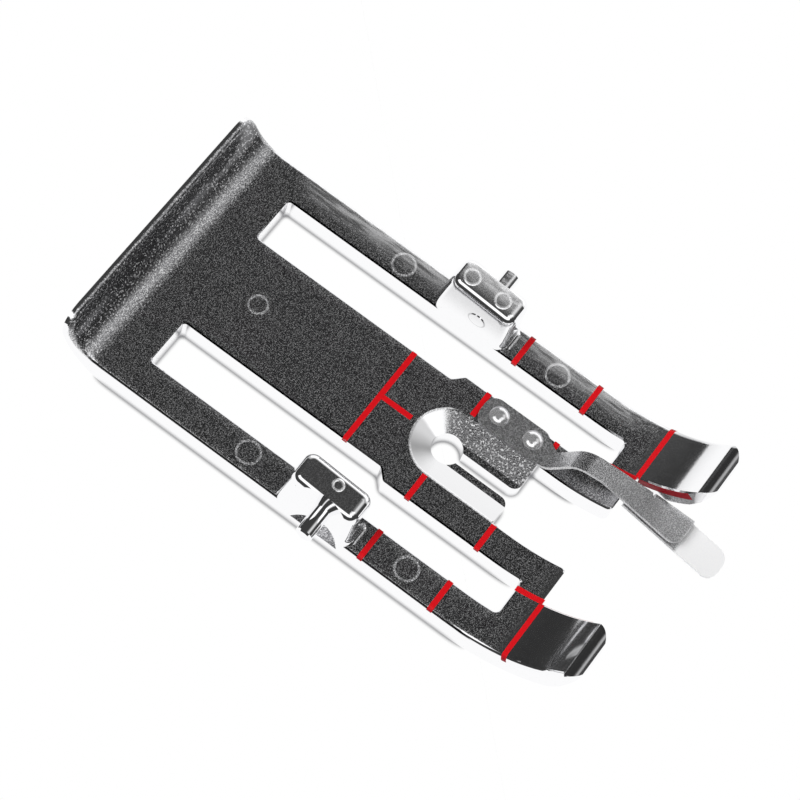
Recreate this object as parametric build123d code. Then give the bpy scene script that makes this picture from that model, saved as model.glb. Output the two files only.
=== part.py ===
from build123d import *
import os
from math import atan, cos, radians, sin, tan

os.makedirs("parts", exist_ok=True)

# Sizes of the casting in mm: needle drop point at x = y = 0, sole at z = 0,
# +X to the operator's right, -Y towards the operator
seam = 6.35  # quarter inch from the needle to the inner edge of each toe
half_width = 11.55
thick = 2.4
edge_round = 0.5
slot_bevel = 0.12
tall = 30.0  # reach of every cut through the casting

# Side contour: rear lip, flat sole and the front that curves up into the toes
rear_y = 27.6
lip_wall = 0.62
lip_inner_radius = 3.2
lip_outer_radius = 5.1
lip_corner_radius = 2.0
sole_front_y = -6.9
top_front_y = -7.6
sole_arc_radius = 12.9
top_arc_radius = 11.4
toe_sweep = 58.5
nose_share = 0.55  # nose radius as a part of the toe's end thickness
nose_bevel_share = 0.3
toe_corner_radius = 1.9

# Plan of the slots, tongue and front notch
slot_back_y = 21.36
slot_front_y = -10.42
rail_inner = 8.66
tongue_half = 4.58
strip_outer = 5.43
strip_inner = 2.95
step_back_y = 3.0
step_front_y = 2.2
step_radius = 0.36
slot_corner_radius = 0.35
recess_front_y = -6.1
web_front_y = -12.6
web_corner_radius = 0.4

# Needle recess
dish_radius = 3.05
dish_depth = 0.85
dish_floor_half = 1.05
needle_hole_radius = 1.25
slit_width = 1.0
slit_corner_radius = 0.7

# Lugs with the clip-on studs
lug_back_y = 7.95
lug_lean = 0.85
lug_front_y = 1.25
lug_top = 7.7
lug_front_drop = 0.6
lug_foot_radius = 0.5
lug_round = 0.9
lug_root = 1.0
relief_width = 4.2
relief_depth = 0.5
relief_floor = 1.2
stud_y = 4.0
stud_z = 4.6
stud_radius = 0.7
stud_tip_x = 13.5
stud_chamfer = 0.15

# Edge guide: riveted strip with two folded jaws
sheet = 0.3
pad_left = 2.8
pad_back_y = -0.2
pad_front_y = -5.3
pad_corner_radius = 1.0
neck_y = -6.8
neck_left = 2.95
neck_right = 4.5
bend_y = -6.75
crest_y = -8.75
bend_radius = 1.2
plan_radius = 0.8
jaw_left = 3.8
jaw_left_y = -10.8
shoulder_right = 5.25
shoulder_y = -10.0
jaw_right = 5.95
jaw_slope = 0.24
jaw_top_y = -10.6
jaw_top_z = 5.0
jaw_tip_y = -18.1
jaw_tip_radius = 1.0
fold_back_y = -14.65
fold_gap = 0.45
fold_clearance = 0.15
fold_turn = 6.8
fold_relief_radius = 0.3
finger_left = 3.85
finger_back_y = -13.2
finger_right = 6.5
finger_tip_y = -21.8
finger_tip_radius = 0.95

# Rivets of the guide
rivet_x = 4.25
rear_rivet_y = -1.65
front_rivet_y = -4.75
rivet_shank_radius = 0.45
rivet_head_radius = 0.8
rivet_head_height = 0.4
rivet_clearance = 0.02

# Casting: one side contour drawn across the whole width
sole_centre = (sole_front_y, sole_arc_radius)
top_centre = (top_front_y, thick + top_arc_radius)
top_arc = CenterArc(top_centre, top_arc_radius, 270 - toe_sweep, toe_sweep)
toe_end = PolarLine(top_arc @ 0, thick, 270 - toe_sweep)
sole_arc = CenterArc(sole_centre, sole_arc_radius, 270, toe_end)
lip_y = rear_y - lip_wall - lip_inner_radius
lip_top = thick + lip_inner_radius
lip_inner = CenterArc((lip_y, lip_top), lip_inner_radius, 270, 90)
lip_outer = CenterArc((rear_y - lip_outer_radius, lip_outer_radius), lip_outer_radius, 0, -90)
contour = make_face(
    [
        Line(lip_outer @ 1, sole_arc @ 0),
        sole_arc,
        Line(sole_arc @ 1, top_arc @ 0),
        top_arc,
        Line(top_arc @ 1, lip_inner @ 0),
        lip_inner,
        Line(lip_inner @ 1, (rear_y, lip_top)),
        Line((rear_y, lip_top), lip_outer @ 0),
        lip_outer,
    ]
)
toe_end_thick = (sole_arc @ 1 - top_arc @ 0).length
contour = fillet(contour.vertices().sort_by_distance(top_arc @ 0)[0], nose_share * toe_end_thick)
contour = chamfer(contour.vertices().sort_by_distance(sole_arc @ 1)[0], nose_bevel_share * toe_end_thick)
casting = extrude(Plane.YZ * contour, amount=half_width, both=True)
lip_corners = casting.edges().filter_by(Axis.Y).group_by(Axis.Z)[-1]
casting = fillet(lip_corners, lip_corner_radius)
top_edges = casting.edges().filter_by(Axis.Y)
top_edges = top_edges.filter_by_position(Axis.Z, thick - edge_round, thick + edge_round)
casting = fillet(top_edges, edge_round)

# Long slots on both sides of the tongue, each with a step to the narrower front strip
slot_points = [
    (tongue_half, slot_back_y),
    (rail_inner, slot_back_y),
    (rail_inner, slot_front_y),
    (strip_outer, slot_front_y),
    (strip_outer, step_front_y),
    (tongue_half, step_back_y),
]
slot = make_face(Polyline(slot_points, close=True))
step_points = slot.vertices().filter_by_position(Axis.Y, step_front_y, step_back_y)
slot = fillet(step_points, step_radius)
slot_ends = slot.vertices().group_by(Axis.Y)
slot = fillet(slot_ends[0] + slot_ends[-1], slot_corner_radius)
slots = extrude(slot + mirror(slot, Plane.YZ), amount=tall)
blank = casting
casting = blank - slots
rims = new_edges(blank, slots, combined=casting).filter_by_position(Axis.Z, thick, tall)
casting = chamfer(rims, slot_bevel)

# Front notch between the strips, opening into the wider gap between the toes
gap_points = [
    (0, recess_front_y),
    (strip_inner, recess_front_y),
    (strip_inner, web_front_y),
    (seam, web_front_y),
    (seam, -tall),
    (0, -tall),
]
gap = make_face(Polyline(gap_points, close=True))
gap = fillet(gap.vertices().filter_by_position(Axis.Y, web_front_y, web_front_y), web_corner_radius)
gap = extrude(gap + mirror(gap, Plane.YZ), amount=tall)
blank = casting
casting = blank - gap
rims = new_edges(blank, gap, combined=casting).filter_by(Axis.Z, reverse=True)
casting = chamfer(rims, slot_bevel)

# Rounded front corners of the toes
tip_y = casting.bounding_box().min.Y
toe_middle = (seam + half_width) / 2
toe_front = Rectangle(half_width - seam, 4 * toe_corner_radius, align=(Align.CENTER, Align.MIN))
toe_front = Pos(toe_middle, tip_y) * toe_front
toe_end_plan = fillet(toe_front.vertices().group_by(Axis.Y)[0], toe_corner_radius)
corner_waste = extrude(toe_front - toe_end_plan, amount=tall)
casting = casting - corner_waste - mirror(corner_waste, Plane.YZ)

# Dished needle recess, needle hole and the thread slit that runs out at the front
dish_floor = thick - dish_depth
cone = Cone(dish_floor_half, dish_radius, dish_depth, align=(Align.CENTER, Align.CENTER, Align.MIN))
trough_points = [
    (-dish_radius, thick),
    (dish_radius, thick),
    (dish_floor_half, dish_floor),
    (-dish_floor_half, dish_floor),
]
trough = make_face(Plane.XZ * Polyline(trough_points, close=True))
trough = extrude(trough, amount=-recess_front_y, dir=(0, -1, 0))
casting = casting - Pos(0, 0, dish_floor) * cone - trough
slit = Pos(0, recess_front_y) * Rectangle(slit_width, -recess_front_y, align=(Align.CENTER, Align.MIN))
mouth = Pos(0, recess_front_y) * Rectangle(2 * strip_inner, 1, align=(Align.CENTER, Align.MAX))
slit = slit + mouth
slit_corners = slit.vertices().filter_by_position(Axis.X, -slit_width / 2, slit_width / 2)
slit = fillet(slit_corners.group_by(Axis.Y)[0], slit_corner_radius)
casting = casting - extrude(slit + Circle(needle_hole_radius), amount=tall)

# Lug on each rail, with a hollow relief down its outer face and the clip-on stud standing in it
lug_root_z = thick - lug_root
lug_front_top = lug_top - lug_front_drop
lug_base = [(lug_back_y - lug_lean, lug_top), (lug_back_y, thick), (lug_back_y, lug_root_z)]
lug_base = lug_base + [(lug_front_y - lug_foot_radius, lug_root_z), (lug_front_y - lug_foot_radius, thick)]
lug_sides = Polyline(lug_base)
lug_foot = CenterArc((lug_front_y - lug_foot_radius, thick + lug_foot_radius), lug_foot_radius, -90, 90)
lug_front = Line(lug_foot @ 1, (lug_front_y, lug_front_top))
lug_roof = Line(lug_front @ 1, lug_sides @ 0)
lug = make_face([lug_sides, lug_foot, lug_front, lug_roof])
lug = extrude(Plane.YZ.offset(rail_inner) * lug, amount=half_width - rail_inner)
lug = fillet(lug.edges().filter_by_position(Axis.Z, thick + lug_foot_radius, tall, (False, True)), lug_round)
relief_radius = ((relief_width / 2) ** 2 + relief_depth**2) / (2 * relief_depth)
relief = Cylinder(relief_radius, tall, align=(Align.CENTER, Align.CENTER, Align.MIN))
relief = Pos(relief_radius - relief_depth) * relief
lug = lug - Pos(half_width, stud_y, relief_floor) * relief
stud_length = stud_tip_x - half_width + relief_depth
stud = Cylinder(stud_radius, 2 * stud_length, align=(Align.CENTER, Align.CENTER, Align.MAX))
stud = chamfer(stud.edges().group_by(Axis.Z)[-1], stud_chamfer)
lug = lug + Pos(stud_tip_x, stud_y, stud_z) * Rot(0, 90, 0) * stud
rail_relief = Pos(half_width, stud_y, relief_floor) * relief
casting = casting - rail_relief - mirror(rail_relief, Plane.YZ)
casting = casting + lug + mirror(lug, Plane.YZ)

# Edge guide, upper sheet: a bent ribbon seen from the side, trimmed to the outline seen from above
pad_mid = thick + sheet / 2
jaw_angle = atan(jaw_slope)
jaw_mid_z = jaw_top_z - sheet / 2 / cos(jaw_angle)
crest = (crest_y, jaw_mid_z + jaw_slope * (crest_y - jaw_top_y))
ribbon_end = (-tall, jaw_mid_z - jaw_slope * (tall + jaw_top_y))
ribbon_path = FilletPolyline([(0, pad_mid), (bend_y, pad_mid), crest, ribbon_end], radius=bend_radius)
ribbon = extrude(Plane.YZ * trace(ribbon_path, sheet), amount=half_width)
fold_radius = (fold_gap + sheet) / 2
fold_right = seam - fold_clearance
fold_x = fold_right - fold_radius - sheet / 2
fold_length = (fold_back_y - jaw_tip_y) / cos(jaw_angle)
fold_shift = fold_length * tan(radians(fold_turn))
outline_points = [
    (pad_left, pad_back_y),
    (strip_outer, pad_back_y),
    (strip_outer, pad_front_y),
    (neck_right, neck_y),
    (shoulder_right, shoulder_y),
    (jaw_right, fold_back_y),
    (fold_x, fold_back_y),
    (fold_x + fold_shift, jaw_tip_y),
    (jaw_left, jaw_tip_y),
    (jaw_left, jaw_left_y),
    (neck_left, neck_y),
    (pad_left, pad_front_y),
]
outline = make_face(Polyline(outline_points, close=True))
pad_corners = outline.vertices().filter_by_position(Axis.Y, pad_back_y, pad_back_y)
outline = fillet(pad_corners, pad_corner_radius)
neck_corners = outline.vertices().filter_by_position(Axis.Y, neck_y, pad_front_y)
outline = fillet(neck_corners, plan_radius)
jaw_corner = outline.vertices().filter_by_position(Axis.Y, jaw_tip_y, jaw_tip_y).sort_by(Axis.X)[0]
outline = fillet(jaw_corner, jaw_tip_radius)
outline = outline - Pos(jaw_right, fold_back_y) * Circle(fold_relief_radius)
guide = ribbon & extrude(outline, amount=tall)

# Edge guide, fold and lower finger, square to the slope of the jaw
fold_back_z = jaw_mid_z + jaw_slope * (fold_back_y - jaw_top_y)
slope = Plane((0, fold_back_y, fold_back_z), x_dir=(1, 0, 0), z_dir=(0, -sin(jaw_angle), cos(jaw_angle)))
turned = slope.rotated((0, 0, fold_turn))
section = Plane((fold_x, fold_back_y, fold_back_z), x_dir=turned.x_dir, z_dir=-turned.y_dir)
fold_arc = CenterArc((0, -fold_radius), fold_radius, -90, 180)
fold = extrude(section * trace(fold_arc, sheet), amount=fold_length / cos(radians(fold_turn)))
finger_points = [
    (finger_left, (finger_back_y - fold_back_y) / cos(jaw_angle)),
    (fold_x, (finger_back_y - fold_back_y) / cos(jaw_angle)),
    (fold_x, 0),
    (fold_x + fold_shift, -fold_length),
    (finger_right, -fold_length),
    (finger_right, (finger_tip_y - fold_back_y) / cos(jaw_angle)),
    (finger_left, (finger_tip_y - fold_back_y) / cos(jaw_angle)),
]
finger_outline = make_face(Polyline(finger_points, close=True))
finger_outline = fillet(finger_outline.vertices().group_by(Axis.Y)[0], finger_tip_radius)
finger = extrude(slope.offset(-2 * fold_radius) * finger_outline, amount=sheet / 2, both=True)
guide = guide + fold + finger

# Rivets: domed heads on the guide, tails flush with the sole
dome_radius = (rivet_head_radius**2 + rivet_head_height**2) / (2 * rivet_head_height)
dome = Pos(0, 0, rivet_head_height - dome_radius) * Sphere(dome_radius)
head = dome & Cylinder(rivet_head_radius, rivet_head_height, align=(Align.CENTER, Align.CENTER, Align.MIN))
grip = thick + sheet
shank = Cylinder(rivet_shank_radius, grip, align=(Align.CENTER, Align.CENTER, Align.MAX))
rivet = Pos(rivet_x, 0, grip) * (head + shank)
hole = Pos(rivet_x, 0, 0) * Cylinder(rivet_shank_radius + rivet_clearance, tall)
rivet_places = Locations((0, rear_rivet_y, 0), (0, front_rivet_y, 0))
rivets = Compound(children=[place * rivet for place in rivet_places])
for place in rivet_places:
    casting = casting - place * hole
    guide = guide - place * hole

export_step(casting, "parts/foot_body.step")
export_step(guide, "parts/edge_guide.step")
export_step(rivets, "parts/guide_rivets.step")
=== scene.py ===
import math

import bmesh
import bpy
import numpy as np
from mathutils import Matrix, Vector


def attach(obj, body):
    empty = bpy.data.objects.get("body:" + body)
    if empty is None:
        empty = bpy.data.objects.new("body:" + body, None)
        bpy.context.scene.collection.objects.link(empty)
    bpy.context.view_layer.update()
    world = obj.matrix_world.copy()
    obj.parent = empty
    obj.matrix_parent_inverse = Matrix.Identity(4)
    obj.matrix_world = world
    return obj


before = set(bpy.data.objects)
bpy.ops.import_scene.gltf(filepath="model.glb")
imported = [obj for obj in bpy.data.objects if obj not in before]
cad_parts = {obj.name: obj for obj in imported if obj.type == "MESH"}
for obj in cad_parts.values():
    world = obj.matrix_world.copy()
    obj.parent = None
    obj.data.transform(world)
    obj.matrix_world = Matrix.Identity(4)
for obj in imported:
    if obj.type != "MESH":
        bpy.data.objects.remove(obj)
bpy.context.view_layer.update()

# Foot body: the one-piece die casting that rides on the cloth, zinc alloy under bright chrome plate.
# The plate was bead-blasted on its flat top before plating, so the flats are grainy and the walls bright.
# The two lugs and their clip-on studs are cast in one with it, and ejector pins left round marks on top.
MM = 0.001


class Wire:
    """One output of a shader graph. Python arithmetic on it adds Math nodes to the same graph."""

    def __init__(self, tree, socket=None):
        self.tree = tree
        self.socket = socket

    def made(self, kind, settings=None, feeds=None, outlet=0):
        """A new node of any kind: its settings first, then the values or wires of its sockets."""
        node = self.tree.nodes.new(kind)
        for name, value in (settings or {}).items():
            setattr(node, name, value)
        for name, value in (feeds or {}).items():
            if isinstance(value, Wire):
                self.tree.links.new(value.socket, node.inputs[name])
            else:
                node.inputs[name].default_value = value
        return Wire(self.tree, node.outputs[outlet])

    def math(self, operation, first, second=0.0):
        return self.made("ShaderNodeMath", {"operation": operation}, {0: first, 1: second})

    def __add__(self, other):
        return self.math("ADD", self, other)

    __radd__ = __add__

    def __sub__(self, other):
        return self.math("SUBTRACT", self, other)

    def __rsub__(self, other):
        return self.math("SUBTRACT", other, self)

    def __mul__(self, other):
        return self.math("MULTIPLY", self, other)

    __rmul__ = __mul__

    def __truediv__(self, other):
        return self.math("DIVIDE", self, other)

    def __rtruediv__(self, other):
        return self.math("DIVIDE", other, self)

    def __pow__(self, other):
        return self.math("POWER", self, other)

    def __neg__(self):
        return self.math("MULTIPLY", self, -1.0)

    def __abs__(self):
        return self.math("ABSOLUTE", self)

    def over(self, other):
        """The larger of two values."""
        return self.math("MAXIMUM", self, other)

    def rise(self, start, end):
        """0 below start, 1 above end, an eased step between; start above end makes it fall."""
        feeds = {"Value": self, "From Min": start, "From Max": end}
        return self.made("ShaderNodeMapRange", {"interpolation_type": "SMOOTHSTEP"}, feeds)

    def parts(self):
        """The three numbers of a vector."""
        split = self.made("ShaderNodeSeparateXYZ", None, {0: self})
        return [Wire(self.tree, out) for out in split.socket.node.outputs]

    def noise(self, scale, detail=2.0, stretch=(1.0, 1.0, 1.0)):
        """Cloudy noise from 0 to 1 on this vector, stretched along its axes."""
        turned = self.made("ShaderNodeMapping", None, {"Vector": self, "Scale": stretch})
        return turned.made("ShaderNodeTexNoise", None, {"Vector": turned, "Scale": scale, "Detail": detail})

    def tint(self, base, other):
        """The colour base where this is 0 and other where it is 1."""
        feeds = {0: self, 6: base, 7: other}
        return self.made("ShaderNodeMix", {"data_type": "RGBA"}, feeds, 2)

    def bump(self, depth):
        """A surface normal from this height, in units of depth metres."""
        return self.made("ShaderNodeBump", None, {"Strength": 1.0, "Distance": depth, "Height": self})


def finish(name, **constants):
    """A material with its shader's constants set, its place in millimetres as a wire, and its shader node."""
    material = bpy.data.materials.new(name)
    material.use_nodes = True
    tree = material.node_tree
    shader = tree.nodes["Principled BSDF"]
    for socket, value in constants.items():
        shader.inputs[socket.replace("_", " ")].default_value = value
    coords = Wire(tree).made("ShaderNodeTexCoord", None, None, "Object")
    place = coords.made("ShaderNodeVectorMath", {"operation": "SCALE"}, {0: coords, "Scale": 1 / MM})
    return material, place, shader


def feed(shader, **wires):
    """Joins wires to the named sockets of a shader."""
    for socket, wire in wires.items():
        wire.tree.links.new(wire.socket, shader.inputs[socket.replace("_", " ")])


def clothe(node_name, material):
    """Gives a CAD node its material."""
    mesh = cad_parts[node_name].data
    mesh.materials.clear()
    mesh.materials.append(material)


plate_top = 2.4
half_width = 11.55
rail_inner = 8.66
tongue_half = 4.58
strip_outer = 5.43
step_y = 2.6
slot_back_y = 21.36
slot_front_y = -10.42
lip_start_y = 20.0
toe_polish_y = -12.4
lug_foot_z = 3.2
lug_back_y = 8.2
lug_front_y = 0.2
mark_x = 9.95
mark_radius = 0.92
mark_line = 0.14
tongue_mark = (0.1, 17.9, 0.75)
roof_marks = [(mark_x, 5.9, 0.6), (mark_x + 0.02, 3.05, 0.6), (-mark_x + 0.14, 3.95, 0.4)]
wall_mark = (4.0, 4.6, 0.72)
bright_plate = (0.97, 0.97, 0.98, 1)
worn_plate = (0.95, 0.95, 0.96, 1)
dark_toe = (0.60, 0.60, 0.61, 1)
grey_blast = (0.28, 0.28, 0.29, 1)
lip_shadow = (0.17, 0.17, 0.175, 1)
pit_shadow = (0.08, 0.08, 0.085, 1)
bevel_shadow = (0.04, 0.04, 0.04, 1)
pale_blast = (0.98, 0.98, 0.99, 1)
wall_shade_and_ring_grey = (0.55, 0.55, 0.56, 1)

chrome, place, shader = finish("blasted_chrome")
x, y, z = place.parts()
across, along, upward = place.made("ShaderNodeNewGeometry", None, None, "Normal").parts()
grit = place.noise(6.5, 2.0)
fine = place.noise(12.0, 1.0)
coarse = place.noise(2.2, 3.0)
streaks = place.noise(4.0, 3.0, (1.0, 0.10, 1.0)).rise(0.36, 0.68)
speckle = (fine * 0.75 + grit * 0.25).rise(0.42, 0.66)
glints = place.noise(6.5, 0.0).rise(0.57, 0.68)

# Where each finish, and each painted shade, is: 1 on it and 0 off it
sunk = z.rise(plate_top - 0.02, plate_top - 0.10)
pitted = (-across).rise(0.26, 0.36) * upward.rise(0.75, 0.88) * sunk
smooth_dish = upward.rise(0.98, 0.95) * sunk * (1.0 - pitted)
bevel = upward.rise(0.40, 0.60) * upward.rise(0.90, 0.80) * z.rise(plate_top - 0.20, plate_top - 0.12)
bevel = bevel * (-across).rise(0.3, 0.5) * z.rise(plate_top + 0.05, plate_top)
lip_face = (-along).rise(0.10, 0.35) * y.rise(lip_start_y, lip_start_y + 2.0)
upper_lip = (-along).rise(0.45, 0.85) * lip_face
low_faces = z.rise(lug_foot_z + 0.5, lug_foot_z).over(lip_face)
toe = y.rise(toe_polish_y + 1.0, toe_polish_y - 1.5)
toe_top = toe * upward.rise(0.60, 0.85)
flats = upward.rise(0.82, 0.97)
blasted = flats.over(lip_face) * (1.0 - toe) * low_faces * (1.0 - smooth_dish)
beside_slot = y.rise(slot_back_y, slot_back_y - 2.0) * y.rise(slot_front_y - 1.0, slot_front_y + 1.0)
right_rail = x.rise(rail_inner + 0.3, half_width - 0.2) * flats
right_rail = right_rail * y.rise(toe_polish_y - 1.0, toe_polish_y + 4.0)
right_rail = right_rail * y.rise(slot_back_y + 1.0, slot_back_y - 2.0)
roof = flats * z.rise(lug_foot_z + 2.0, lug_foot_z + 3.0)
roof = roof * y.rise(lug_back_y, lug_back_y - 0.2) * y.rise(lug_front_y - 0.2, lug_front_y)
right_roof = roof * x.rise(rail_inner + 0.3, half_width - 0.5)
right_wall = (-across).rise(0.8, 0.95) * x.rise(0.0, 1.0)
lug_wall = right_wall * z.rise(lug_foot_z, lug_foot_z + 3.4)


def brink(edge, reach):
    """1 at an edge that faces +X, easing to 0 a reach inside it, and 0 past it."""
    return x.rise(edge - reach, edge) * x.rise(edge + 0.3, edge + 0.2)


def ring(first, second, mark):
    """1 on a narrow circle of the mark's centre and radius, in the plane of two coordinates, and 0 off it."""
    centre_first, centre_second, radius = mark
    reach = ((first - centre_first) ** 2.0 + (second - centre_second) ** 2.0) ** 0.5
    return reach.rise(radius - mark_line, radius) * reach.rise(radius + mark_line, radius)


rings = ring(x, y, tongue_mark) * low_faces
for hand in (1.0, -1.0):
    for mark_y in (11.3, -3.2):
        rings = rings.over(ring(x, y, (hand * mark_x, mark_y, mark_radius)) * low_faces)
for mark in roof_marks:
    rings = rings.over(ring(x, y, mark) * roof)
rings = rings * upward.rise(0.6, 0.9)
wall_ring = ring(y, z, wall_mark) * right_wall
lit_edges = brink(-rail_inner, 0.9).over(brink(tongue_half, 0.8) * y.rise(step_y - 0.3, step_y + 0.3))
lit_edges = lit_edges.over(brink(strip_outer, 0.8) * y.rise(step_y + 0.3, step_y - 0.3))
lit_edges = lit_edges * blasted * beside_slot

# Share of dull scatter, which shows as pale grain on the dark mirror of the plate
pale = blasted * speckle * 0.14 * (1.0 - right_rail * 0.7) + lip_face.over(pitted) * glints * 0.45
pale = pale + right_rail * (0.06 + streaks * 0.42) + lit_edges * (0.02 + grit * 0.18)
pale = pale + rings * (0.15 + grit * 0.55) + roof * speckle * 0.05 + right_roof * (0.18 + grit * 0.35)
grainy = speckle.over(right_rail).tint(grey_blast, pale_blast)
grainy = (upper_lip * (1.0 - glints)).tint(grainy, lip_shadow)
grainy = (pitted * (1.0 - glints)).tint(grainy, pit_shadow)
plain = toe_top.tint(coarse.tint(worn_plate, bright_plate), dark_toe)
# Painted shade: the right lug's inner wall is painted a darker grey, mottled with grit; the ring mark on that
# wall is real and takes the same grey.
plain = (lug_wall * (0.3 + grit * 0.5)).over(wall_ring).tint(plain, wall_shade_and_ring_grey)
plain = bevel.tint(plain, bevel_shadow)
height = blasted * (grit * 0.006 + coarse * 0.010) + pitted * fine * 0.04 + right_rail * streaks * 0.010
height = height + rings * 0.03 + toe_top * grit * 0.003
feed(
    shader,
    Base_Color=blasted.tint(plain, grainy),
    Metallic=1.0 - pale,
    Roughness=0.05 + blasted * (0.14 + grit * 0.10) + toe_top * (0.06 + coarse * 0.10),
    Normal=height.bump(MM),
)
clothe("foot_body", chrome)

# Scale lines: red enamel wiped across the flats as seam and stitch-length marks, a few hundredths thick.
# Each line runs out over the rounded edge at its ends and down the wall, where its red is painted darker as
# painted shade.
quarter_inch = 6.35
top_front_y = -7.6
top_arc_radius = 11.4
edge_round = 0.5
slot_bevel = 0.12
film = 0.02
line_half = 0.225
seam_inset = 0.15
full_run_out = 0.6
red_enamel = (0.68, 0.005, 0.010, 1)
worn_and_shaded_enamel = (0.30, 0.002, 0.010, 1)
film_profile = np.array([(-1.0, -1.0), (-1.0, 0.5), (-0.8, 1.0), (0.8, 1.0), (1.0, 0.5), (1.0, -1.0)])


def top_at(y):
    """Height of the top face and its normal: flat, then an arc of top_arc_radius that rises to the toes."""
    drop = np.clip(top_front_y - y, 0.0, None)
    height = plate_top + top_arc_radius - np.sqrt(top_arc_radius**2 - drop**2)
    lean = np.arcsin(drop / top_arc_radius)
    return height, np.stack([0 * lean, np.sin(lean), np.cos(lean)], -1)


def carried(path, outward, half):
    """A closed film: the profile, half wide and a film thick, is set square to outward at each point
    of the path, and its corners are joined from point to point."""
    run = np.gradient(path, axis=0)
    run /= np.linalg.norm(run, axis=1, keepdims=True)
    side = np.cross(run, outward)
    wide = side[:, None] * film_profile[None, :, :1] * half
    deep = outward[:, None] * film_profile[None, :, 1:] * film
    points = (path[:, None] + wide + deep).reshape(-1, 3)
    count, turns = len(path), len(film_profile)
    row, col = np.meshgrid(np.arange(count - 1), np.arange(turns), indexing="ij")
    after = (col + 1) % turns
    quads = [row * turns + col, row * turns + after, (row + 1) * turns + after, (row + 1) * turns + col]
    caps = np.stack([np.arange(turns), turns * count - 1 - np.arange(turns)])
    return points, np.stack(quads, -1).reshape(-1, 4), caps


def cross_line(y, start, end, start_wrap, end_wrap):
    """A line across the foot at y from x start to x end; at each end it turns down over a rounded edge.
    Past the flat, the way along the edge is an angle until a quarter turn, and then runs down the wall."""
    sign = np.sign(end - start)
    lengths = [abs(end - start) - start_wrap[0] - end_wrap[0], start_wrap[1], end_wrap[1]]
    way = np.linspace(-lengths[1], lengths[0] + lengths[2], 48)
    past = np.clip(way - lengths[0], 0.0, None) + np.clip(-way, 0.0, None)
    ahead = np.where(way > lengths[0] / 2, 1.0, -1.0)
    radius = np.where(ahead > 0, end_wrap[0], start_wrap[0])
    angle = np.minimum(past / radius, np.pi / 2)
    down = radius * (1 - np.cos(angle)) + np.clip(past - radius * np.pi / 2, 0.0, None)
    flat_x = start + sign * (start_wrap[0] + np.clip(way, 0.0, lengths[0]))
    height, normal = top_at(np.full_like(way, y))
    hand = np.array([1.0, 0.0, 0.0]) * (sign * ahead)[:, None]
    centre = np.stack([flat_x, np.full_like(way, y), height], -1)
    path = centre + hand * (radius * np.sin(angle))[:, None] - normal * down[:, None]
    outward = normal * np.cos(angle)[:, None] + hand * np.sin(angle)[:, None]
    return path, outward, line_half, past


def long_line(x, start, end):
    """A line along the foot at x from y start to y end, lying on the top face."""
    way = np.linspace(start, end, 24)
    height, normal = top_at(way)
    return np.stack([np.full_like(way, x), way, height], -1), normal, line_half, 0 * way


def wall_band(x, start, end, below, half):
    """A band on a toe's inner wall at x from y start to y end, its middle a way below the top edge."""
    way = np.linspace(start, end, 32)
    height, normal = top_at(way)
    hand = np.array([-np.sign(x), 0.0, 0.0]) + 0 * normal
    middle = np.stack([np.full_like(way, x), way, height], -1) - normal * below
    return middle, hand, half, 0 * way + full_run_out


stub = (0.02, 0.0)
slot_edge = (slot_bevel, 0.45)
outer_edge = (edge_round, 0.55)
toe_edge = (edge_round, 0.8)
dish_rim = 3.05
stem_end_y = 3.46
web_front_y = -12.6
band_end_y = -16.4
band_below, band_half = 0.45, 0.34
lines = [
    cross_line(quarter_inch, -tongue_half, tongue_half, slot_edge, slot_edge),
    long_line(0.0, quarter_inch - line_half, stem_end_y),
]
for hand in (-1.0, 1.0):
    for line_y in (0.0, -quarter_inch):
        lines.append(cross_line(line_y, hand * dish_rim, hand * strip_outer, stub, slot_edge))
        lines.append(cross_line(line_y, hand * rail_inner, hand * half_width, slot_edge, outer_edge))
    lines.append(cross_line(-2 * quarter_inch, hand * quarter_inch, hand * half_width, slot_edge, toe_edge))
    lines.append(long_line(hand * (quarter_inch - seam_inset), slot_front_y, -2 * quarter_inch))
    lines.append(wall_band(hand * quarter_inch, web_front_y, band_end_y, band_below, band_half))

points, faces, shade_past_edge = [], [], []
for path, outward, half, past in lines:
    first = sum(len(p) for p in points)
    verts, quads, caps = carried(path, outward, half)
    points.append(verts)
    shade_past_edge.append(np.repeat(past, len(film_profile)))
    faces += (first + quads).tolist() + (first + caps).tolist()
mesh = bpy.data.meshes.new("scale_lines")
mesh.from_pydata((np.concatenate(points) * MM).tolist(), [], faces)
shade_past_edge_layer = mesh.attributes.new("shade_past_edge", "FLOAT", "POINT")
shade_past_edge_layer.data.foreach_set("value", np.concatenate(shade_past_edge))
work = bmesh.new()
work.from_mesh(mesh)
bmesh.ops.recalc_face_normals(work, faces=work.faces)
work.to_mesh(mesh)
work.free()
scale_lines = bpy.data.objects.new("scale_lines", mesh)
bpy.context.collection.objects.link(scale_lines)

enamel, place, shader = finish("red_enamel", Metallic=0.0, Specular_IOR_Level=0.25)
worn = place.noise(3.0, 4.0)
# The way past the flat edge sets where the red is painted darker as painted shade, over edges and on the wall
# bands; worn patches darken it a little too.
shaded_run_out = place.made("ShaderNodeAttribute", {"attribute_name": "shade_past_edge"}, None, "Fac")
feed(
    shader,
    Base_Color=(shaded_run_out.rise(0.1, full_run_out).over(worn.rise(0.5, 0.9) * 0.3)).tint(red_enamel, worn_and_shaded_enamel),
    Roughness=0.38 + worn * 0.2,
    Normal=(worn * 0.01).bump(MM),
)
mesh.materials.append(enamel)
scale_lines.visible_glossy = False
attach(scale_lines, "root")

# Edge guide: a strip of thin satin steel riveted on the right strip beside the needle slot.
# It is stamped, bent up over the cloth edge and folded under itself into the lower finger.
neck_back_y = -6.2
jaw_back_y = -12.5
jaw_tip_y = -18.1
dark_steel = (0.34, 0.34, 0.35, 1)
pale_steel = (0.86, 0.86, 0.87, 1)
dull_white = (0.97, 0.97, 0.98, 1)
clear_white = (1.0, 1.0, 1.0, 1)

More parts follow.
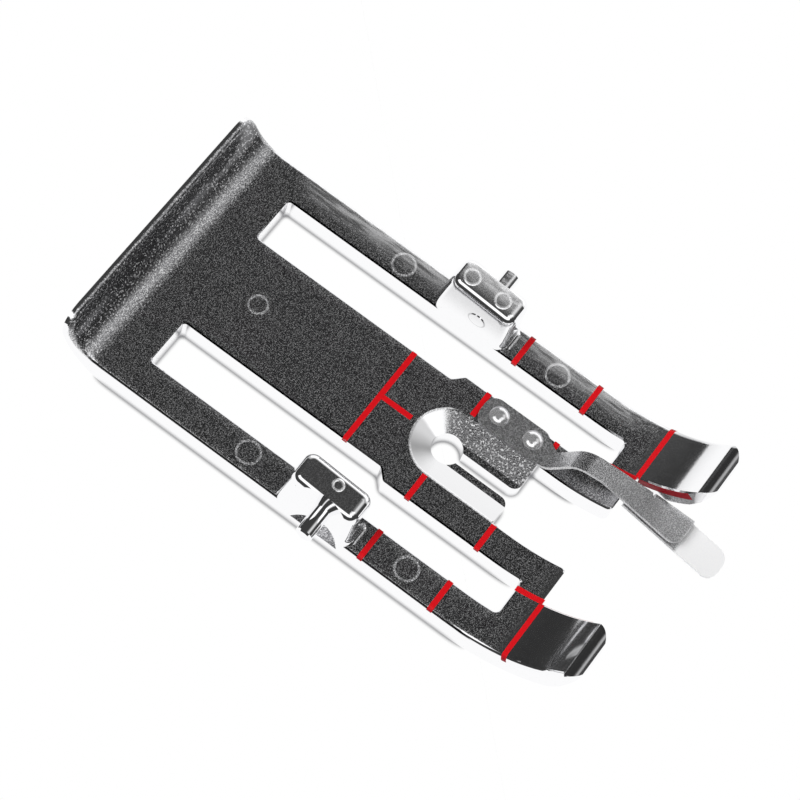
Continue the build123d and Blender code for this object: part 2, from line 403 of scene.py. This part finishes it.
satin, place, shader = finish("satin_strip")
y = place.parts()[1]
grain = place.noise(12.0, 1.0).rise(0.38, 0.66)
brushed = place.noise(3.0, 3.0, (1.0, 0.3, 1.0))
jaw = y.rise(jaw_back_y, jaw_back_y - 1.5)
neck = y.rise(neck_back_y, neck_back_y - 0.8) * y.rise(jaw_back_y, jaw_back_y + 1.5)
finger = y.rise(jaw_tip_y + 0.2, jaw_tip_y - 0.2)
mottle = grain * 0.8 + brushed * 0.2
strip_steel = mottle.tint(dark_steel, pale_steel)
# The lower finger is coloured near white and made almost non-metallic, much paler than the jaw.
pale_finger = mottle.tint(dull_white, clear_white)
feed(
    shader,
    Base_Color=finger.tint(strip_steel, pale_finger),
    Metallic=0.94 - grain * (1.0 - finger) * 0.10 - finger * 0.84,
    Roughness=0.34 + grain * 0.10 + jaw * 0.08 - neck * 0.16,
    Normal=(grain * (1.0 - finger) * (0.006 + jaw * 0.006) + brushed * 0.003).bump(MM),
)
clothe("edge_guide", satin)

# Rivets: two small steel rivets with low polished domes, which hold the guide on the strip.
# Each is headed over in place, so the dome is a little uneven, and its colour is painted in soft lighter and
# darker patches as painted reflection of the room.
dome_shade = (0.82, 0.82, 0.83, 1)
dome_shine = (0.95, 0.95, 0.96, 1)

domed, place, shader = finish("rivet_polish", Metallic=0.75)
dents_and_sheen = place.noise(3.0, 3.0)
feed(
    shader,
    # Painted reflection: the dome's colour goes between shade and shine in soft patches.
    Base_Color=dents_and_sheen.tint(dome_shade, dome_shine),
    Roughness=0.06 + dents_and_sheen * 0.05,
    Normal=(dents_and_sheen * 0.006).bump(MM),
)
clothe("guide_rivets", domed)

# Table top and light: a plain white table that the foot lies on, with the foot's shadow painted on it, under a
# dark ceiling with soft boxes.
# The boxes stand to the left, the right and the front, so the flats mirror the dark and the slopes the light.
floor_half = 3.0
contact_reach = 0.4
contact_shadow_grey = (0.22, 0.22, 0.23, 1)
table_white = (1.0, 1.0, 1.0, 1)
mesh = bpy.data.meshes.new("table_top")
corners = np.array([(-1, -1, 0), (1, -1, 0), (1, 1, 0), (-1, 1, 0)]) * floor_half
mesh.from_pydata(corners.tolist(), [], [(0, 1, 2, 3)])
table = bpy.data.objects.new("table_top", mesh)
bpy.context.collection.objects.link(table)
white, place, shader = finish("white_table", Roughness=0.6)
# Painted shadow: the table's white goes to grey where ambient occlusion finds the foot close, and camera and
# mirror rays see it.
contact = place.made("ShaderNodeAmbientOcclusion", {"samples": 16}, {"Distance": contact_reach * MM}, "AO")
shade = contact.rise(0.30, 0.95).tint(contact_shadow_grey, table_white)
shader.inputs["Base Color"].default_value = (0.85, 0.85, 0.85, 1)
glow = place.made("ShaderNodeEmission", None, {"Color": shade, "Strength": 1.0})
path = place.made("ShaderNodeLightPath").socket.node.outputs
seen = Wire(place.tree, path["Is Camera Ray"]).over(Wire(place.tree, path["Is Glossy Ray"]))
seen = seen.over(Wire(place.tree, path["Is Transmission Ray"]))
mixed = place.made("ShaderNodeMixShader", None, {0: seen, 1: Wire(place.tree, shader.outputs[0]), 2: glow})
place.tree.links.new(mixed.socket, place.tree.nodes["Material Output"].inputs["Surface"])
mesh.materials.append(white)

world = bpy.data.worlds.new("studio")
world.use_nodes = True
bpy.context.scene.world = world
sky = Wire(world.node_tree)
dx, dy, dz = sky.made("ShaderNodeTexCoord", None, None, "Generated").parts()
flat = (dx * dx + dy * dy + 1e-6) ** 0.5


def softbox(heading, spread, low, high, soft):
    """A soft-edged window of sky: azimuth within spread of heading, elevation from low to high, degrees."""
    turn = math.radians(heading)
    toward = (dx * math.cos(turn) + dy * math.sin(turn)) / flat
    edge = [math.cos(math.radians(spread + soft)), math.cos(math.radians(spread - soft))]
    rise = [math.sin(math.radians(low - soft)), math.sin(math.radians(low + soft))]
    fall = [math.sin(math.radians(high + soft)), math.sin(math.radians(high - soft))]
    return toward.rise(*edge) * dz.rise(*rise) * dz.rise(*fall)


ceiling = 0.045
level = ceiling + 1.3 * softbox(180, 55, 34, 57, 5) + 0.65 * softbox(-52, 24, 35, 58, 10)
level = level + 1.2 * softbox(0, 50, -10, 26, 14) + 1.0 * softbox(-105, 35, 46, 72, 8)
level = level.over(dz.rise(0.0, -0.05))
path = sky.made("ShaderNodeLightPath").socket.node.outputs
level = level.over(Wire(world.node_tree, path["Is Camera Ray"]))
world.node_tree.links.new(level.socket, world.node_tree.nodes["Background"].inputs["Color"])

lamp = bpy.data.lights.new("key", "SUN")
lamp.energy = 2.2
lamp.angle = math.radians(40)
key = bpy.data.objects.new("key", lamp)
key.matrix_world = Matrix.Rotation(math.radians(-25), 4, "X") @ Matrix.Rotation(math.radians(-20), 4, "Y")
key.visible_glossy = False
bpy.context.collection.objects.link(key)

# Camera: a long lens above and to the left of the foot, as fitted to the photograph.
# It is rolled so that the foot lies along the picture's diagonal, with the lip at the upper left.
camera_at = Vector((-86.0748, -19.9572, 199.0043)) * MM
forward = Vector((0.40081198, 0.11529059, -0.90887724)).normalized()
roll = math.radians(-21.4)
level_right = forward.cross(Vector((0, 0, 1))).normalized()
level_down = forward.cross(level_right).normalized()
right = level_right * math.cos(roll) + level_down * math.sin(roll)
down = forward.cross(right).normalized()
lens = bpy.data.cameras.new("photo_camera")
lens.sensor_width = 36.0
lens.lens = 130.1
lens.clip_start = 0.005
lens.clip_end = 20.0
camera = bpy.data.objects.new("photo_camera", lens)
turn = Matrix((right, -down, -forward)).transposed()
camera.matrix_world = Matrix.Translation(camera_at) @ turn.to_4x4()
bpy.context.collection.objects.link(camera)
bpy.context.scene.camera = camera
bpy.context.scene.view_settings.view_transform = "Standard"
